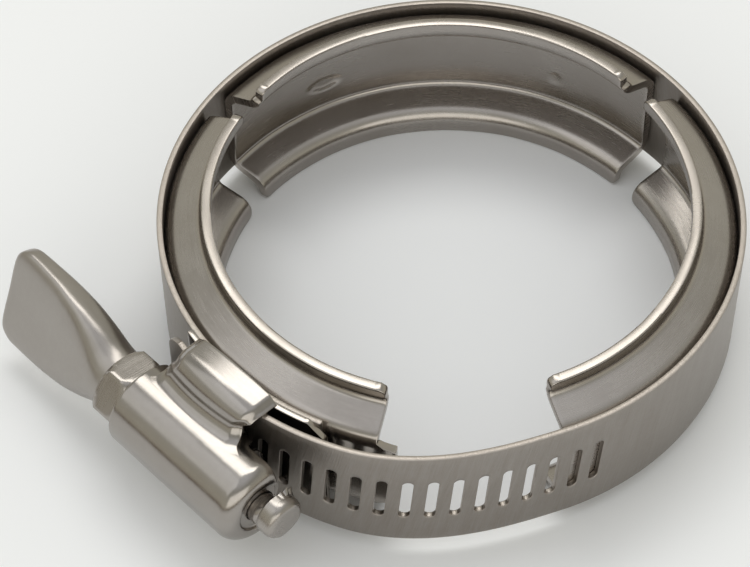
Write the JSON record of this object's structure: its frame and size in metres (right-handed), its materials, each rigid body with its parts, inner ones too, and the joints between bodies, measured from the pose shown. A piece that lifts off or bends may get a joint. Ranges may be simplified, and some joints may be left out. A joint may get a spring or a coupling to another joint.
{
  "type": "worm-drive retainer hose clamp",
  "caption": "Worm-drive band clamp with V-section retainers inside a slotted steel band, a pressed screw housing and a thumb wing for tightening by hand.",
  "frame": {"origin": "centre of the ring, midway between the retainers' upper and lower lips", "axes": "+Z along the ring's axis; the screw lies across the band at 226 degrees from +X, counter-clockwise"},
  "size_m": [0.0815, 0.0705, 0.018],
  "materials": {
    "band_steel": "satin stainless, fine cross-brushed lines",
    "retainer_steel": "smooth satin stainless, formed bends",
    "housing_steel": "smooth pressed stainless",
    "screw_steel": "turned stainless, fine lathe lines",
    "wing_steel": "satin pressed stainless tube"
  },
  "bodies": {
    "root": {"band_left": "band_steel", "retainer_left": "retainer_steel", "housing_saddle": "band_steel", "worm_housing": "housing_steel"},
    "rear": {"band_rear": "band_steel", "retainer_rear": "retainer_steel"},
    "right": {"band_right": "band_steel", "retainer_right": "retainer_steel"},
    "free_end": {"band_free_end": "band_steel"},
    "screw": {"worm_screw": "screw_steel", "thumb_wing": "wing_steel"}
  },
  "joints": [
    {"name": "screw_turn", "type": "hinge", "parent": "root", "child": "screw", "pos_m": [-0.0264, -0.02733, 0], "axis": [0.7193, -0.6947, 0], "range_deg": [-360, 1080]},
    {"name": "left_rear_flex", "type": "hinge", "parent": "root", "child": "rear", "pos_m": [-0.02743, 0.01584, 0], "axis": [0, 0, 1], "range_deg": [-4.02, 1.34]},
    {"name": "rear_right_flex", "type": "hinge", "parent": "rear", "child": "right", "pos_m": [0.02444, 0.02015, 0], "axis": [0, 0, 1], "range_deg": [-4.57, 1.53]},
    {"name": "right_free_flex", "type": "hinge", "parent": "right", "child": "free_end", "pos_m": [0.00995, -0.03016, 0], "axis": [0, 0, 1], "range_deg": [-3.68, 1.23]}
  ],
  "couplings": [
    {"joint": "left_rear_flex", "follows": "screw_turn", "ratio": -0.003718},
    {"joint": "rear_right_flex", "follows": "screw_turn", "ratio": -0.004226},
    {"joint": "right_free_flex", "follows": "screw_turn", "ratio": -0.003402}
  ]
}
